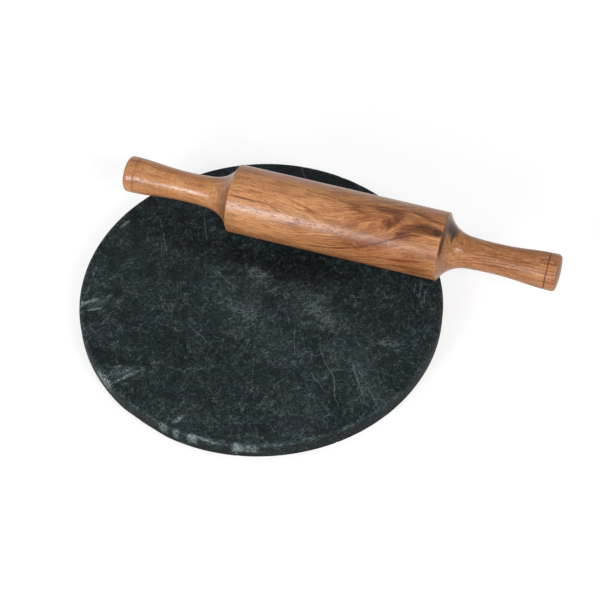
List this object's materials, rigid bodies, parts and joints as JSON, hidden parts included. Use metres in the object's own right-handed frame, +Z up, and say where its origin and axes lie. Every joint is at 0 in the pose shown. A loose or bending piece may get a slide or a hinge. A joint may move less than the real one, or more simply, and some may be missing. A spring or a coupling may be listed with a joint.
{
  "type": "rolling board with rolling pin",
  "caption": "Round stone rolling board for flatbreads on low rubber feet, with a turned wooden rolling pin lying loose across its work surface.",
  "frame": {"origin": "centre of the board, on the surface that its feet stand on", "axes": "+Z up, square to the work surface; +X along the rolling pin, with -Y towards the user"},
  "size_m": [0.3235, 0.254, 0.0679],
  "materials": {
    "green_marble": "honed dark green marble with a fine mesh of paler veins and a few whitish streaks",
    "foot_rubber": "matt black moulded rubber",
    "pin_wood": "turned warm brown hardwood under clear lacquer"
  },
  "bodies": {
    "board": {"marble_slab": "green_marble", "front_foot": "foot_rubber", "right_foot": "foot_rubber", "left_foot": "foot_rubber"},
    "rolling_pin": {"rolling_pin": "pin_wood"}
  },
  "joints": [
    {"name": "pin_lift", "type": "slide", "parent": "board", "child": "rolling_pin", "axis": [0, 0, 1], "range_m": [0, 0.15]}
  ]
}
